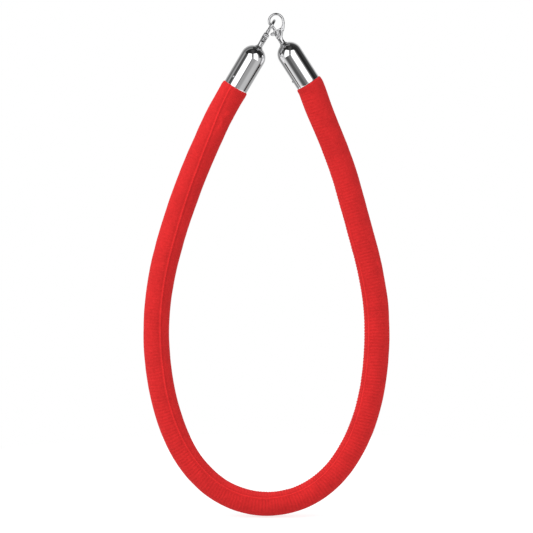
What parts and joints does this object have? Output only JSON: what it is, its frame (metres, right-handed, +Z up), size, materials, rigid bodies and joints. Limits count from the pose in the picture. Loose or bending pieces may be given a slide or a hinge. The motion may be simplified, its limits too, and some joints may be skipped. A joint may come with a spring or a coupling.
{
  "type": "velour barrier rope",
  "caption": "Padded red velour barrier rope with chrome end caps and swivelling trigger snap hooks, the hooks clipped together so that it hangs as a loop.",
  "frame": {"origin": "inside the right hook's bow, at the point that rests on whatever the loop hangs from", "axes": "+Z up, the loop hanging below the origin in the XZ plane; front towards -Y; +X to the right seen from the front"},
  "size_m": [0.376, 0.049, 0.7761],
  "materials": {
    "velour": "red cotton velour with fine crosswise gathers",
    "core": "foam and fibre filling",
    "cap_chrome": "polished chrome plate",
    "hook_chrome": "chrome plate on a casting",
    "steel": "plain bright steel",
    "plug_wood": "turned softwood",
    "binding_cord": "wound waxed twine"
  },
  "bodies": {
    "right_hook": {"right_hook_body": "hook_chrome", "right_trigger_pin": "steel", "right_trigger_spring": "steel", "right_swivel_nut": "steel"},
    "right_trigger": {"right_trigger": "hook_chrome"},
    "rope": {"velour_sleeve": "velour", "rope_core": "core", "left_cap_shell": "cap_chrome", "right_cap_shell": "cap_chrome", "left_cap_brad": "steel", "right_cap_brad": "steel", "left_end_plug": "plug_wood", "right_end_plug": "plug_wood", "left_binding": "binding_cord", "right_binding": "binding_cord", "left_swivel_washer": "steel", "right_swivel_washer": "steel"},
    "left_hook": {"left_hook_body": "hook_chrome", "left_trigger_pin": "steel", "left_trigger_spring": "steel", "left_swivel_nut": "steel"},
    "left_trigger": {"left_trigger": "hook_chrome"}
  },
  "joints": [
    {"name": "right_swivel", "type": "hinge", "parent": "right_hook", "child": "rope", "pos_m": [0.0106, 0, -0.0427], "axis": [-0.5373, 0, 0.8434], "range_deg": [-25, 25]},
    {"name": "left_swivel", "type": "hinge", "parent": "rope", "child": "left_hook", "pos_m": [-0.0253, -0.01, -0.0465], "axis": [0.5075, 0, 0.8616], "range_deg": [-10, 10]},
    {"name": "right_gate", "type": "hinge", "parent": "right_hook", "child": "right_trigger", "pos_m": [0.00321, 0, -0.03259], "axis": [0, 1, 0], "range_deg": [0, 26], "stiffness_Nm_per_rad": 0.06, "springref_deg": -17.19, "deforming": ["right_trigger_spring"]},
    {"name": "left_gate", "type": "hinge", "parent": "left_hook", "child": "left_trigger", "pos_m": [-0.01896, -0.0108, -0.03573], "axis": [-0.8616, 0, 0.5075], "range_deg": [0, 26], "stiffness_Nm_per_rad": 0.06, "springref_deg": -17.19, "deforming": ["left_trigger_spring"]}
  ]
}
